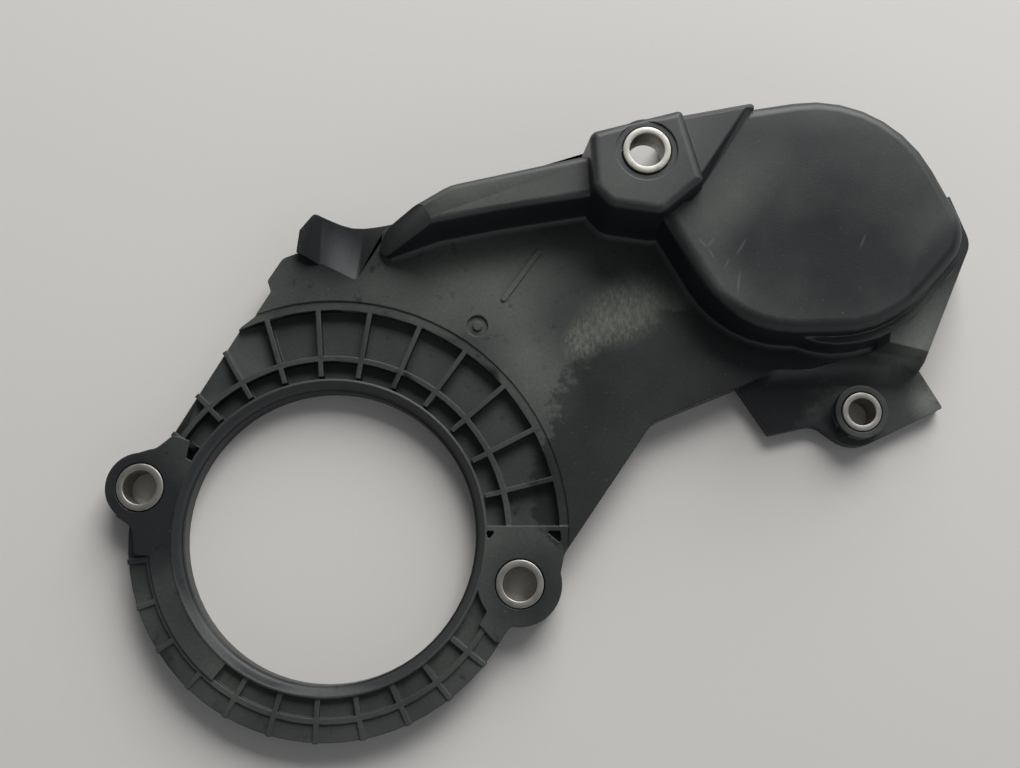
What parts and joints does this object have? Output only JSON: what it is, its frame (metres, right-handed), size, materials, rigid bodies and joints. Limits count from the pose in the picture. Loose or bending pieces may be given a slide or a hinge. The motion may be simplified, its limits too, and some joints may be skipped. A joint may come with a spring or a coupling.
{
  "type": "timing cover",
  "caption": "Moulded plastic timing belt cover with a ribbed ring round the crank opening, a domed end, a raised channel and pressed-in metal bolt sleeves.",
  "frame": {"origin": "middle of the footprint, on the back plane that the cover lies on", "axes": "+X along the length, from the crank opening towards the domed end; +Y across, towards the raised channel; +Z out of the outer face, away from the engine"},
  "size_m": [0.2226, 0.1628, 0.0283],
  "materials": {
    "black_plastic": "moulded black glass-filled nylon, dusty and lightly scuffed",
    "sleeve_steel": "plated steel sleeve, dull grey"
  },
  "bodies": {
    "root": {"cover_moulding": "black_plastic", "sleeve_left_ear": "sleeve_steel", "sleeve_right_ear": "sleeve_steel", "sleeve_upper_boss": "sleeve_steel", "sleeve_flange": "sleeve_steel"}
  },
  "joints": []
}
